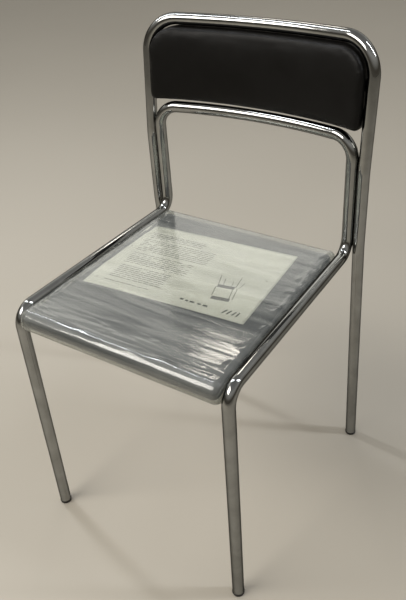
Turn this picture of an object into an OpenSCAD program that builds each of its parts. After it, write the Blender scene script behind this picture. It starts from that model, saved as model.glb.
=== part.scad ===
// Stacking chair with a bent steel tube frame, a padded back and a seat still in its clear film.
// Millimetres. +X is the sitter's left seen from the front of the chair, +Y is the rear, +Z is up.
// The origin is on the floor, under the middle of the chair.

/* [Tube frame] */
// Outside diameter of every tube
tube_d = 20; // [18:0.5:22]
// Wall thickness of the tube
tube_wall = 1.5; // [1.2:0.1:2]
// Overall width across the two sides of the rear hoop
frame_w = 435; // [400:1:470]
// Height of the middle line of the top rail where it meets the sides
top_h = 801; // [760:1:850]
// Height of the middle line of the two seat rails
rail_h = 450; // [420:1:470]
// Length of a seat rail from the upright to the front leg
rail_len = 405; // [380:1:440]
// How far the seat rails open toward the front, in degrees
rail_yaw = 1; // [0:0.1:2]
// Backward slope of the rear legs, in degrees
leg_splay = 4; // [2:0.5:7]
// Backward lean of the upper part of the back, in degrees
back_rake = 5; // [3:0.5:8]
// How far above the seat rails the rear legs turn upright
leg_bend_up = 20; // [10:1:35]
// How far above the seat rails the back begins to lean
back_bend_up = 150; // [140:1:160]
// Half angle of the bow of the top rail, in degrees
top_bow = 14; // [8:0.5:16]
// Half angle of the bow of the lower back rail, in degrees
low_bow = 12; // [8:0.5:14]
// How far the middle line of the lower back rail is above the seat rails
low_rail_up = 204; // [190:1:212]

/* [Bends] */
// Bend radius of the top corners of the rear hoop
top_corner_r = 56; // [50:1:62]
// Bend radius of the top corners of the front hoop
low_corner_r = 36; // [30:1:42]
// Bend radius at both ends of the seat rails
rail_bend_r = 29; // [26:1:34]
// Bend radius of the two shallow bends in each side
side_bend_r = 150; // [120:5:180]

/* [Seat] */
// How far the top of the seat cushion stands above the middle line of the rails
seat_rise = 7; // [5:0.5:10]
// Thickness of the seat cushion behind its front roll
seat_t = 23; // [20:1:26]
// Radius of the roll at the front of the seat
roll_r = 18; // [16:1:20]
// How far the roll's middle line is behind the middle line of the front legs
roll_back = 5; // [0:1:30]
// How far the rear edge of the seat is from the uprights
seat_back_gap = 22; // [18:1:30]
// Thickness of the plywood in the seat
seat_ply = 9; // [8:0.5:10]

/* [Back pad] */
// Space between the lower back rail and the back pad
pad_gap = 4; // [4:1:16]
// Thickness of the back cushion
pad_t = 22; // [12:0.1:26]
// Thickness of the plywood in the back pad
pad_ply = 7; // [6:0.5:8]

/* [Film and paper] */
// Thickness of the clear film
film_t = 0.5; // [0.4:0.1:0.8]
// Space between the cushion and the film, where the paper lies
film_gap = 0.9; // [0.9:0.1:1.2]
// Thickness of the printed sheet
paper_t = 0.3; // [0.2:0.1:0.3]
// Turn of the sheet on the seat, in degrees
paper_turn = 4; // [0:0.5:8]
// How far the middle of the sheet is from the rear edge of the seat
paper_in = 157; // [125:1:200]
// How far the middle of the sheet is to the left of the middle of the seat
paper_left = 14; // [0:1:20]

/* [Hidden] */
$fn = 64;

clear = 0.3;                       // space left between pieces that only lie near each other
lap = 0.4;                         // how far a straight length runs into the next bend
swell = 0.05;                      // a bend is this much fuller in radius than the straight tube
tube_in = tube_d - 2 * tube_wall;
half_w = (frame_w - tube_d) / 2;
hoop_gap = 0.2;                    // space between the two hoops, bridged by the welds
in_half = half_w - tube_d - hoop_gap;
leg_bend_h = rail_h + leg_bend_up;
back_bend_h = rail_h + back_bend_up;
low_rail_h = rail_h + low_rail_up;
knee_x = in_half + rail_len * sin(rail_yaw);
knee_y = rail_len * cos(rail_yaw);

// rear hoop: the top rail is an arc whose ends turn down into the sides
top_r = (half_w - top_corner_r * cos(top_bow)) / sin(top_bow);
top_sag = top_corner_r * sin(top_bow) + top_r * (1 - cos(top_bow));
lean_y = tan(back_rake) * (top_h - back_bend_h);
lean_len = (top_h - back_bend_h) / cos(back_rake);
bend_a = side_bend_r * tan(back_rake / 2);
bend_b = side_bend_r * tan(leg_splay / 2);
foot_y = leg_bend_h * tan(leg_splay);
foot_t = 6;                        // height of the plug under the end of a tube

// front hoop
low_r = (in_half - low_corner_r * cos(low_bow)) / sin(low_bow);
low_sag = low_corner_r * sin(low_bow) + low_r * (1 - cos(low_bow));

// the beads join the two hoops where both are upright
weld_low = max(leg_bend_h + bend_b, rail_h + rail_bend_r) + 12;
weld_high = back_bend_h - bend_a - 28;

// seat heights
seat_top = rail_h + seat_rise;
seat_low = seat_top - seat_t;
roll_reach = knee_y - roll_back;   // from the uprights to the middle line of the front roll
wrap = film_gap + film_t;          // film's outer face from the cushion
side_gap = wrap + clear;           // cushion's side from the rail
strap_top = seat_low - wrap;
strap_t = 4;
strap_w = 25;
strap_front_y = -knee_y + 80;
strap_rear_y = -95;
screw_x = 90;
ply_z = strap_top + film_t;        // plywood's underside, on the film's turned-in edges
board_in = 8;                      // plywood's edge from the cushion's edge

// back pad, on an arc about the same line as the top rail
pad_side = half_w - tube_d / 2 - clear;
pad_low = low_rail_h - back_bend_h + tube_d / 2 + pad_gap;
pad_top = lean_len - tube_d / 2 - 0.4;
pad_corner = top_corner_r - tube_d / 2;
board_r = top_r;                   // front face of the back's plywood
cover_r = board_r + pad_ply + clear;
cover_t = 1.5;
lug_r = cover_r + cover_t + clear; // front face of the lugs
lug_t = 3;
lug_side = tube_d / 2 + 8;         // from the side tube's middle line to the lug's screw
lug_a = asin((half_w - lug_side) / (top_r + 8));
lug_low = pad_low + 20;
lug_high = pad_top - pad_corner - 13;

// the chair is set so that its box is centred over the origin
front_reach = roll_reach + roll_r + swell + wrap;
rear_reach = lean_y + top_sag * cos(back_rake) + tube_d / 2;
mid_y = (front_reach - rear_reach) / 2;

module place() {
  translate([0, mid_y, 0]) children();
}

// ---- tube building blocks: each starts at the origin heading +Z and puts its children at its end

module run(d, len, more = 0) {
  translate([0, 0, -lap]) cylinder(d = d, h = len + 2 * lap + more);
  translate([0, 0, len]) children();
}

module arc(d, r, a0, a1) {
  translate([r, 0, 0]) mirror([1, 0, 0]) rotate([90, 0, 0]) rotate([0, 0, a0])
    rotate_extrude(angle = a1 - a0, $fn = max(96, ceil(r * 0.8))) translate([r, 0]) circle(d = d, $fn = 64);
}

module skip(dir, r, a) {
  rotate([0, 0, dir]) translate([r, 0, 0]) rotate([0, a, 0])
    translate([-r, 0, 0]) rotate([0, 0, -dir]) children();
}

module bend(d, dir, r, a) {
  rotate([0, 0, dir]) arc(d + 2 * swell, r, 0, a);
  skip(dir, r, a) children();
}

// ---- the two hoops, as a path of diameter d; more lets the bore run out of the ends

module rear_side(d, more) {
  skip(-90, top_r, top_bow)
    bend(d, 0, top_corner_r, 90)
      run(d, lean_len - top_corner_r - bend_a)
        bend(d, 90 - top_bow, side_bend_r, back_rake)
          run(d, back_bend_h - leg_bend_h - bend_a - bend_b)
            bend(d, 90 - top_bow, side_bend_r, leg_splay)
              run(d, leg_bend_h / cos(leg_splay) - bend_b - foot_t - lap, more);
}

module rear_path(d, more) {
  ease = 0.03;
  translate([0, lean_y + top_sag * cos(back_rake), top_h - top_sag * sin(back_rake)])
    rotate([-back_rake, 0, 0]) {
      rotate([0, 90, 0]) rotate([0, 0, -90]) arc(d, top_r, -top_bow - ease, top_bow + ease);
      rotate([0, 90, 0]) rear_side(d, more);
      mirror([1, 0, 0]) rotate([0, 90, 0]) rear_side(d, more);
    }
}

module front_side(d, more) {
  skip(-90, low_r, low_bow)
    bend(d, 0, low_corner_r, 90)
      run(d, low_rail_h - rail_h - low_corner_r - rail_bend_r)
        bend(d, 270 - low_bow - rail_yaw, rail_bend_r, 90)
          run(d, rail_len - 2 * rail_bend_r)
            bend(d, 90 - low_bow - rail_yaw, rail_bend_r, 90)
              run(d, rail_h - rail_bend_r - foot_t - lap, more);
}

module front_path(d, more) {
  ease = 0.03;
  translate([0, low_sag, low_rail_h]) {
    rotate([0, 90, 0]) rotate([0, 0, -90]) arc(d, low_r, -low_bow - ease, low_bow + ease);
    rotate([0, 90, 0]) front_side(d, more);
    mirror([1, 0, 0]) rotate([0, 90, 0]) front_side(d, more);
  }
}

module rear_hoop() {
  color("silver") place() difference() {
    rear_path(tube_d, 0);
    rear_path(tube_in, 5);
  }
}

module front_hoop() {
  color("lightgray") place() difference() {
    front_path(tube_d, 0);
    front_path(tube_in, 5);
  }
}

// beads in the groove behind each pair of uprights
module weld_bead(s, z) {
  mid_x = half_w - (tube_d + hoop_gap) / 2;
  translate([0, 0, z]) linear_extrude(16) difference() {
    translate([s * mid_x - 3.5, 4]) square([7, 3]);
    translate([s * half_w, 0]) circle(d = tube_d);
    translate([s * in_half, 0]) circle(d = tube_d);
  }
}

module hoop_welds() {
  color("dimgray") place() for (s = [-1, 1]) {
    weld_bead(s, weld_low);
    weld_bead(s, weld_high);
  }
}

// ---- seat supports: a flat strap under the seat, its raised ends coped to the rails

module rail_rod(s) {
  translate([s * in_half, 0, rail_h]) rotate([90, 0, s * rail_yaw])
    cylinder(d = tube_d, h = rail_len);
}

module seat_strap(y) {
  rx = in_half - y * tan(rail_yaw);
  ix = rx - tube_d / 2 + 0.4;
  tip = rx + 2.5;
  up = rail_h - tube_d / 2 + 0.6;
  place() difference() {
    translate([0, y + strap_w / 2, 0]) rotate([90, 0, 0]) linear_extrude(strap_w)
      polygon([[-tip, up], [-tip, up - strap_t], [-ix - strap_t, up - strap_t],
               [-ix - strap_t, strap_top - strap_t], [ix + strap_t, strap_top - strap_t],
               [ix + strap_t, up - strap_t], [tip, up - strap_t], [tip, up],
               [ix, up], [ix, strap_top], [-ix, strap_top], [-ix, up]]);
    rail_rod(1);
    rail_rod(-1);
    for (x = [-screw_x, screw_x])
      translate([x, y, strap_top - strap_t - 1]) cylinder(d = 6.6, h = strap_t + 2);
  }
}

module seat_strap_front() {
  color("slategray") seat_strap(strap_front_y);
}

module seat_strap_rear() {
  color("slategray") seat_strap(strap_rear_y);
}

// ---- seat: outline in plan and in side view, both grown by o

function side_x(y, o) = in_half - y * tan(rail_yaw) - tube_d / 2 - side_gap + o;

module seat_plan(o) {
  yf = -(roll_reach + roll_r + 4);
  polygon([[-side_x(yf, o), yf], [side_x(yf, o), yf], [side_x(4, o), 4], [-side_x(4, o), 4]]);
}

module seat_profile(o) {
  polygon([[-roll_reach, seat_top + o], [-seat_back_gap + o, seat_top + o],
           [-seat_back_gap + o, seat_low - o], [-roll_reach + 30, seat_low - o],
           [-roll_reach, seat_top - 2 * roll_r - o]]);
}

module seat_form(o) {
  intersection() {
    rotate([90, 0, 90]) {
      linear_extrude(500, center = true) seat_profile(o);
      translate([-roll_reach, seat_top - roll_r, -250]) cylinder(r = roll_r + swell + o, h = 500, $fn = 96);
    }
    translate([0, 0, rail_h - 60]) linear_extrude(120) seat_plan(o);
  }
}

module board_plan(o) {
  yf = -roll_reach + 15;
  yr = -seat_back_gap - board_in;
  polygon([[-side_x(yf, o - board_in), yf - o], [side_x(yf, o - board_in), yf - o],
           [side_x(yr, o - board_in), yr + o], [-side_x(yr, o - board_in), yr + o]]);
}

module at_seat_screws(z) {
  for (x = [-screw_x, screw_x], y = [strap_front_y, strap_rear_y])
    translate([x, y, z]) children();
}

module seat_board() {
  color("burlywood") place() difference() {
    translate([0, 0, ply_z]) linear_extrude(seat_ply) board_plan(0);
    at_seat_screws(ply_z - 1) cylinder(d = 8.2, h = seat_ply + 2);
  }
}

module seat_cushion() {
  color("dimgray") place() difference() {
    seat_form(0);
    translate([0, 0, seat_low - 20]) linear_extrude(ply_z + seat_ply + clear - seat_low + 20)
      board_plan(clear);
    at_seat_screws(ply_z + seat_ply - 1) cylinder(d = 20, h = 3.5);
  }
}

module seat_tee_nuts() {
  color("gainsboro") place() at_seat_screws(ply_z + seat_ply) difference() {
    union() {
      cylinder(d = 19, h = 1.5);
      translate([0, 0, -7.5]) cylinder(d = 7.8, h = 7.6);
    }
    translate([0, 0, -9]) cylinder(d = 6.2, h = 12);
  }
}

module seat_screws() {
  color("gray") place() at_seat_screws(strap_top - strap_t) difference() {
    union() {
      translate([0, 0, -3.6]) cylinder(d = 12, h = 3.6);
      translate([0, 0, -0.1]) cylinder(d = 6, h = 14);
    }
    translate([0, 0, -4]) cylinder(d = 4.6, h = 2.4, $fn = 6);
  }
}

module paper_sheet() {
  color("ivory") place() translate([-paper_left, -seat_back_gap - paper_in, seat_top + clear])
    rotate([0, 0, paper_turn])
    translate([-148.5, -105, 0]) cube([297, 210, paper_t]);
}

module seat_film() {
  lip = 30;                        // width of the film turned in under the seat
  color("lightsteelblue") place() difference() {
    seat_form(wrap);
    seat_form(film_gap);
    translate([-side_x(0, -lip), -roll_reach + 36, seat_low - 12])
      cube([2 * side_x(0, -lip), roll_reach - 36 - seat_back_gap - lip, 12]);
  }
}

// ---- back pad: the frame of the leaning part, with the arc's line as its Z axis

module on_back() {
  place() translate([0, 0, back_bend_h]) rotate([-back_rake, 0, 0])
    translate([0, top_sag - top_r, 0]) children();
}

module pad_outline(o) {
  s = pad_side - o;
  t = pad_top - o;
  b = pad_low + o;
  k = pad_corner - o;
  f = 8;
  translate([-s, b + f]) square([2 * s, t - k - b - f]);
  translate([-s + k, t - k - 1]) square([2 * (s - k), k + 1]);
  translate([-s + f, b]) square([2 * (s - f), f + 1]);
  for (m = [-1, 1]) {
    translate([m * (s - k), t - k]) circle(r = k);
    translate([m * (s - f), b + f]) circle(r = f);
  }
}

module pad_layer(r0, r1, o) {
  intersection() {
    difference() {
      cylinder(r = r1, h = lean_len + 40, $fn = 480);
      translate([0, 0, -1]) cylinder(r = r0, h = lean_len + 42, $fn = 480);
    }
    translate([0, top_r + 60, 0]) rotate([90, 0, 0]) linear_extrude(200) pad_outline(o);
  }
}

module at_lugs(r) {
  for (s = [-1, 1], u = [lug_low, lug_high])
    rotate([0, 0, -s * lug_a]) translate([0, r, u]) mirror([s < 0 ? 1 : 0, 0, 0])
      rotate([-90, 0, 0]) children();
}

module back_board() {
  color("peru") on_back() difference() {
    pad_layer(board_r, board_r + pad_ply, 3);
    at_lugs(board_r - 1) cylinder(d = 7.2, h = pad_ply + 2);
  }
}

module back_cushion() {
  color("black") on_back() difference() {
    pad_layer(board_r - clear - pad_t, board_r - clear, 0);
    at_lugs(board_r - 2) cylinder(d = 18, h = 3);
  }
}

module back_cover() {
  color("darkslategray") on_back() difference() {
    pad_layer(cover_r, cover_r + cover_t, 0);
    at_lugs(cover_r - 1) cylinder(d = 6, h = 4);
  }
}

module back_tee_nuts() {
  color("gainsboro") on_back() at_lugs(board_r) difference() {
    union() {
      translate([0, 0, -1.5]) cylinder(d = 16, h = 1.2);
      translate([0, 0, -0.4]) cylinder(d = 6.8, h = pad_ply);
    }
    translate([0, 0, -3]) cylinder(d = 5.2, h = 12);
  }
}

module back_lugs() {
  color("slategray") on_back() difference() {
    at_lugs(lug_r) difference() {
      translate([-10, -9, 0]) cube([lug_side + 12, 18, lug_t]);
      translate([0, 0, -1]) cylinder(d = 5.6, h = lug_t + 2);
    }
    for (s = [-1, 1])
      translate([s * half_w, top_r - top_sag, 0]) cylinder(d = tube_d, h = lean_len);
  }
}

module back_screws() {
  color("gray") on_back() at_lugs(lug_r + lug_t) difference() {
    union() {
      cylinder(d = 9.5, h = 2.8);
      translate([0, 0, -12]) cylinder(d = 5, h = 12.1);
    }
    translate([0, 0, 1]) cylinder(d = 3.6, h = 3, $fn = 6);
  }
}

// ---- foot plugs: a flange under the tube's end, cut level with the floor, and a stem inside

module foot_plug(x, y, tilt) {
  place() difference() {
    translate([x, y, 0]) rotate([tilt, 0, 0]) {
      translate([0, 0, -2]) cylinder(d = tube_d + 1, h = foot_t + 2);
      translate([0, 0, foot_t - 0.5]) cylinder(d = tube_in - 0.2, h = 16);
    }
    translate([x - 30, y - 30, -20]) cube([60, 60, 20]);
  }
}

module foot_plug_front_left() {
  color("black") foot_plug(-knee_x, -knee_y, 0);
}

module foot_plug_front_right() {
  color("black") foot_plug(knee_x, -knee_y, 0);
}

module foot_plug_rear_left() {
  color("black") foot_plug(-half_w, foot_y, leg_splay);
}

module foot_plug_rear_right() {
  color("black") foot_plug(half_w, foot_y, leg_splay);
}

rear_hoop();
front_hoop();
hoop_welds();
seat_strap_front();
seat_strap_rear();
seat_board();
seat_cushion();
seat_tee_nuts();
seat_screws();
paper_sheet();
seat_film();
back_board();
back_cushion();
back_cover();
back_tee_nuts();
back_lugs();
back_screws();
foot_plug_front_left();
foot_plug_front_right();
foot_plug_rear_left();
foot_plug_rear_right();
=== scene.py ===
# %% [markdown]
# # A stacking chair in chromed tube, with its seat still in clear film
# The frame is already exact: it comes in as one solid per real piece, in metres, standing on the
# floor with +Y to the rear. This lesson keeps every size and place, and gives each piece the
# surface that the real one has. Big smooth metal is swept again so that it mirrors cleanly, soft
# pads are puffed up by a short cloth simulation, and small repeated things come from Geometry Nodes.

# %% Load the frame and keep its box
from math import atan2, cos, hypot, pi, radians, sin, sqrt, tan

import bmesh
import bpy
import numpy as np
from mathutils import Matrix, Vector, noise
from mathutils.bvhtree import BVHTree


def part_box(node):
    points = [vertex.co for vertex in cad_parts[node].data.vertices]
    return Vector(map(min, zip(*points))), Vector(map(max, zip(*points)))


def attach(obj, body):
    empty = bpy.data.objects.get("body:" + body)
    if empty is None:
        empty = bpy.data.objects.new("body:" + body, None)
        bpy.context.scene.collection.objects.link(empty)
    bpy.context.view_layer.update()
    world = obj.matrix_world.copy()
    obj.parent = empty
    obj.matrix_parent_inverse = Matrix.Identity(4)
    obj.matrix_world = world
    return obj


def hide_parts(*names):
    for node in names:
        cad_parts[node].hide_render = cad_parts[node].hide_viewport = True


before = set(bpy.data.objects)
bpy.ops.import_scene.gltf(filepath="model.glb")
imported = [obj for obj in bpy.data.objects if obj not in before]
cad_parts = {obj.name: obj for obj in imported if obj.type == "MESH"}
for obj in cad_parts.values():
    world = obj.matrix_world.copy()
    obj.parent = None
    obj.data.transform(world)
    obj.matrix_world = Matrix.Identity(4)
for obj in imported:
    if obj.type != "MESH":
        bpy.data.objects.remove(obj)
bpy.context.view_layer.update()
scene = bpy.context.scene

# %% [markdown]
# ## The sizes that the pieces share
# These are the frame's own sizes. The tube bends, the seat and the back pad are all worked out
# from them, so a piece made here lies exactly where its solid does.

# %% Shared sizes, in metres
MM = 0.001
MID_Y = 179.786 * MM          # the uprights' middle line lies this far behind the origin
TUBE_R = 10 * MM
HALF_W = 207.5 * MM           # rear hoop, middle line
IN_HALF = 187.3 * MM          # front hoop, middle line
RAIL_H = 450 * MM
LEG_BEND_H = 470 * MM
BACK_BEND_H = 600 * MM
LOW_RAIL_H = 654 * MM
TOP_H = 801 * MM
RAKE, SPLAY, YAW = radians(5), radians(4), radians(1)
TOP_BOW, LOW_BOW = radians(14), radians(12)
TOP_CORNER, LOW_CORNER, RAIL_BEND, SIDE_BEND = 56 * MM, 36 * MM, 29 * MM, 150 * MM
RAIL_LEN = 405 * MM
FOOT_T = 6 * MM
TOP_R = (HALF_W - TOP_CORNER * cos(TOP_BOW)) / sin(TOP_BOW)
TOP_SAG = TOP_CORNER * sin(TOP_BOW) + TOP_R * (1 - cos(TOP_BOW))
LOW_R = (IN_HALF - LOW_CORNER * cos(LOW_BOW)) / sin(LOW_BOW)
LOW_SAG = LOW_CORNER * sin(LOW_BOW) + LOW_R * (1 - cos(LOW_BOW))
LEAN_LEN = (TOP_H - BACK_BEND_H) / cos(RAKE)
SEAT_TOP, SEAT_LOW = 457 * MM, 434 * MM
ROLL_R = 18.05 * MM
ROLL_Z = SEAT_TOP - 18 * MM   # middle of the front roll
RAMP = 30 * MM                # length of the slope behind the roll, under the seat
ROLL_Y = MID_Y - (RAIL_LEN * cos(YAW) - 5 * MM)
SEAT_REAR = MID_Y - 22 * MM
print("top rail bowed", round(TOP_SAG / MM, 1), "mm, lower rail", round(LOW_SAG / MM, 1), "mm")

# %% [markdown]
# ## Helpers for materials
# Colours are written as the hex values that a screen shows, so one function turns them into the
# linear values that light adds up in. Another adds one shader node, sets it and links it, and the
# rest are short names for the nodes that nearly every material uses.

# %% Colour and node helpers
def linear(hexa):
    parts = [int(hexa[i:i + 2], 16) / 255 for i in (1, 3, 5)]
    return tuple(c / 12.92 if c <= 0.04045 else ((c + 0.055) / 1.055) ** 2.4 for c in parts) + (1.0,
        )


def add(tree, kind, inputs=None, **settings):
    node = tree.nodes.new(kind)
    for name, value in settings.items():
        setattr(node, name, value)
    for name, value in (inputs or {}).items():
        if isinstance(value, bpy.types.NodeSocket):
            tree.links.new(value, node.inputs[name])
        else:
            node.inputs[name].default_value = value
    return node


def new_material(name):
    mat = bpy.data.materials.new(name)
    mat.use_nodes = True
    tree = mat.node_tree
    tree.nodes.clear()
    place = add(tree, "ShaderNodeTexCoord").outputs["Object"]
    return mat, tree, place


def ramp(tree, value, stops):
    """A colour ramp whose stops are (position, grey or hex)."""
    node = add(tree, "ShaderNodeValToRGB", {"Fac": value})
    elements = node.color_ramp.elements
    while len(elements) < len(stops):
        elements.new(0.5)
    for element, (position, colour) in zip(elements, stops):
        grey = (colour, colour, colour, 1)
        element.position = position
        element.color = linear(colour) if isinstance(colour, str) else grey
    return node.outputs["Color"]


def cloud(tree, place, scale, detail=2.0, **more):
    """Soft random patches between 0 and 1, with scale as patches to the metre."""
    sizes = {"Vector": place, "Scale": scale, "Detail": detail, **more}
    return add(tree, "ShaderNodeTexNoise", sizes).outputs["Fac"]


def relief(tree, height, strength, distance):
    sizes = {"Height": height, "Strength": strength, "Distance": distance}
    return add(tree, "ShaderNodeBump", sizes).outputs[0]


def maths(tree, operation, *values):
    return add(tree, "ShaderNodeMath", dict(enumerate(values)), operation=operation).outputs[0]


def stretch(tree, value, low, high, to_low=0.0, to_high=1.0):
    """Turns the range low to high into the range to_low to to_high, and stops at both ends."""
    ends = {"From Min": low, "From Max": high, "To Min": to_low, "To Max": to_high}
    return add(tree, "ShaderNodeMapRange", {"Value": value, **ends}).outputs[0]


def principled(tree, colour, roughness, **more):
    """The keys of more are socket names with underscores for spaces."""
    named = {key.replace("_", " "): value for key, value in more.items()}
    inputs = {"Base Color": colour, "Roughness": roughness, **named}
    return add(tree, "ShaderNodeBsdfPrincipled", inputs)


def finish_with(tree, shader):
    add(tree, "ShaderNodeOutputMaterial", {"Surface": shader.outputs[0]})


# %% [markdown]
# ## Chrome plate
# The hoops are chrome plate over polished steel: a neutral, rather dark mirror that gives back
# about a third of the light. Handling leaves dull smears a few centimetres long and fine rubbed
# specks, so the roughness varies and the colour hardly does. Worn plate loses more light at a
# glancing angle, which draws a thin dark line down both sides of every tube.

# %% Chrome plate
chrome, tree, place = new_material("chrome_plate")
smear = cloud(tree, place, 22.0, 4.0, Roughness=0.6, Distortion=0.8)
speck = cloud(tree, place, 420.0)
dull = ramp(tree, smear, [(0.42, 0.05), (0.62, 0.10), (0.78, 0.20)])
grit = ramp(tree, speck, [(0.60, 0.0), (0.75, 0.02)])
tint = ramp(tree, smear, [(0.3, "#a3a4a3"), (0.7, "#8f908e")])
finish_with(tree, principled(
    tree, tint, maths(tree, "ADD", dull, grit), Metallic=1.0,
    Specular_Tint=(0.18, 0.18, 0.18, 1.0)))

# %% [markdown]
# ## Weld metal, black paint and zinc
# The beads were plated with the frame, so they are metal with a scaly, duller skin. The straps and
# lugs under the pads are sprayed satin black. Screws, nuts and staples are zinc plated: pale metal
# with a soft, slightly mottled shine.

# %% Plated weld beads
weld_skin, tree, place = new_material("plated_weld_bead")
scale = cloud(tree, place, 500.0, 3.0)
shade = ramp(tree, scale, [(0.3, "#6d6860"), (0.7, "#a39d92")])
bump = relief(tree, scale, 0.4, 0.0006)
finish_with(tree, principled(tree, shade, 0.36, Metallic=1.0, Normal=bump))

# %% Satin black paint on steel
black_paint, tree, place = new_material("satin_black_paint")
orange_peel = cloud(tree, place, 260.0)
shade = ramp(tree, orange_peel, [(0.35, "#17171a"), (0.7, "#232325")])
gloss = ramp(tree, orange_peel, [(0.3, 0.34), (0.7, 0.48)])
bump = relief(tree, orange_peel, 0.12, 0.0005)
finish_with(tree, principled(tree, shade, gloss, Normal=bump, IOR=1.5))

# %% Zinc plate on screws, nuts and staples
zinc, tree, place = new_material("zinc_plate")
spangle = cloud(tree, place, 900.0)
shade = ramp(tree, spangle, [(0.3, "#a8a69c"), (0.7, "#cfccc0")])
gloss = ramp(tree, spangle, [(0.3, 0.22), (0.7, 0.4)])
finish_with(tree, principled(tree, shade, gloss, Metallic=1.0))

# %% [markdown]
# ## Plywood
# The boards inside the pads are raw birch plywood. The face shows long grain lines about 6 mm
# apart across the sheet, and the sawn edge shows thin plies, dark and pale in turn, 1.5 mm thick.

# %% Raw birch plywood
PAIRS_OF_PLIES = 333.0        # to the metre
plywood, tree, place = new_material("raw_birch_plywood")
along = add(tree, "ShaderNodeMapping", {"Vector": place, "Scale": (12.0, 160.0, 160.0)})
grain = cloud(tree, along.outputs[0], 1.0, 5.0, Distortion=0.6)
face = ramp(tree, grain, [(0.3, "#a98a60"), (0.5, "#c3a479"), (0.7, "#d2b78c")])
split = add(tree, "ShaderNodeSeparateXYZ", {"Vector": place})
wrapped = maths(tree, "FRACT", maths(tree, "MULTIPLY", split.outputs["Z"], PAIRS_OF_PLIES))
plies = ramp(tree, wrapped, [(0.42, "#8a6a45"), (0.5, "#c8aa80"), (0.94, "#c8aa80"),
    (1.0, "#8a6a45")])
normal = add(tree, "ShaderNodeNewGeometry").outputs["Normal"]
facing = add(tree, "ShaderNodeSeparateXYZ", {"Vector": normal})
side = maths(tree, "GREATER_THAN", maths(tree, "ABSOLUTE", facing.outputs["Z"]), 0.5)
wood = add(tree, "ShaderNodeMix", {"Factor": side, "A": plies, "B": face}, data_type="RGBA")
bump = relief(tree, grain, 0.25, 0.0006)
finish_with(tree, principled(tree, wood.outputs["Result"], 0.72, Normal=bump))

# %% [markdown]
# ## Vinyl over foam
# Both pads are covered in vinyl (PVC on a cloth back) with an embossed leather grain: near black on
# the back and a dark grey on the seat. Real grain cells are under a millimetre; they are drawn
# 1.8 mm across so that they just show. The seat's grain is pressed flat by the film that lies on
# it. The skin is satin, with a soft sheen along rounded edges.

# %% Embossed vinyl
GRAIN_CELLS = 550.0           # to the metre


def vinyl(name, dark, pale, low, high, ior, depth):
    mat, tree, place = new_material(name)
    cells = add(tree, "ShaderNodeTexVoronoi", {"Vector": place, "Scale": GRAIN_CELLS,
        "Randomness": 1.0},
                feature="DISTANCE_TO_EDGE")
    groove = ramp(tree, cells.outputs["Distance"], [(0.0, 0.0), (0.12, 1.0)])
    patch = cloud(tree, place, 14.0, 4.0, Roughness=0.6)
    shade = ramp(tree, patch, [(0.3, dark), (0.7, pale)])
    gloss = ramp(tree, patch, [(0.3, low), (0.7, high)])
    bump = relief(tree, groove, depth, 0.0005)
    finish_with(tree, principled(tree, shade, gloss, Normal=bump, IOR=ior))
    return mat


back_vinyl = vinyl("black_vinyl_back", "#090807", "#0e0d0c", 0.38, 0.48, 1.27, 0.16)
seat_vinyl = vinyl("dark_grey_vinyl_seat", "#3e4043", "#4b4d50", 0.32, 0.42, 1.5, 0.03)

# %% [markdown]
# ## Moulded plastic
# The foot plugs are injection-moulded polyethylene: black, slightly waxy and scuffed pale where
# they slide on the floor. The panel behind the back pad is thin ABS with a pebbled face.

# %% Foot plug and back panel plastic
plug_plastic, tree, place = new_material("black_moulded_polyethylene")
scuff = cloud(tree, place, 240.0, 4.0)
height = add(tree, "ShaderNodeSeparateXYZ", {"Vector": place}).outputs["Z"]
near_floor = stretch(tree, height, 0.0, 0.004, 1.0, 0.0)
shade = ramp(tree, maths(tree, "MULTIPLY", near_floor, scuff), [(0.2, "#161616"), (0.6, "#3a3733")])
finish_with(tree, principled(tree, shade, 0.5))

panel_plastic, tree, place = new_material("pebbled_black_abs")
pebble = add(tree, "ShaderNodeTexVoronoi", {"Vector": place, "Scale": 600.0}, feature="SMOOTH_F1")
shade = ramp(tree, cloud(tree, place, 30.0, 3.0), [(0.3, "#1b1b1c"), (0.7, "#242425")])
bump = relief(tree, pebble.outputs["Distance"], 0.3, 0.0008)
finish_with(tree, principled(tree, shade, 0.52, Normal=bump))

# %% [markdown]
# ## Clear film
# The seat is still in its polyethylene bag. One layer hardly colours what lies under it, but it is
# loose, slightly milky, and doubles with the vinyl into a strong, crumpled gloss. A transparent
# shader mixed with a pale glossy one does that without the dark shadows that solid glass would
# throw. The share of milky gloss grows where the film is seen edge on, as a real fold does.

# %% Clear polyethylene film
film_clear, tree, place = new_material("clear_polyethylene_film")
lie = add(tree, "ShaderNodeMapping", {"Vector": place, "Scale": (5.0, 36.0, 36.0),
    "Rotation": (0.0, 0.0, 0.10)})
crumple = cloud(tree, lie.outputs[0], 1.0, 2.0, Roughness=0.45, Distortion=1.2)
fine = cloud(tree, place, 90.0, 1.0, Distortion=1.0)
bump = relief(tree, maths(tree, "MULTIPLY_ADD", fine, 0.06, crumple), 0.24, 0.0020)
gloss = ramp(tree, crumple, [(0.35, 0.13), (0.7, 0.26)])
haze = ramp(tree, crumple, [(0.38, "#777a7a"), (0.62, "#a2a4a1")])
milk = principled(tree, haze, gloss, IOR=2.3, Normal=bump, Coat_Weight=1.0, Coat_Roughness=0.10,
                  Coat_IOR=1.8, Coat_Normal=bump)
clear = add(tree, "ShaderNodeBsdfTransparent", {"Color": linear("#fbfcfa")})
edge_on = add(tree, "ShaderNodeLayerWeight", {"Blend": 0.3, "Normal": bump})
share = stretch(tree, edge_on.outputs["Facing"], 0.0, 1.0, 0.17, 0.56)
mixed = {0: share, 1: clear.outputs[0], 2: milk.outputs[0]}
finish_with(tree, add(tree, "ShaderNodeMixShader", mixed))

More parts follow.
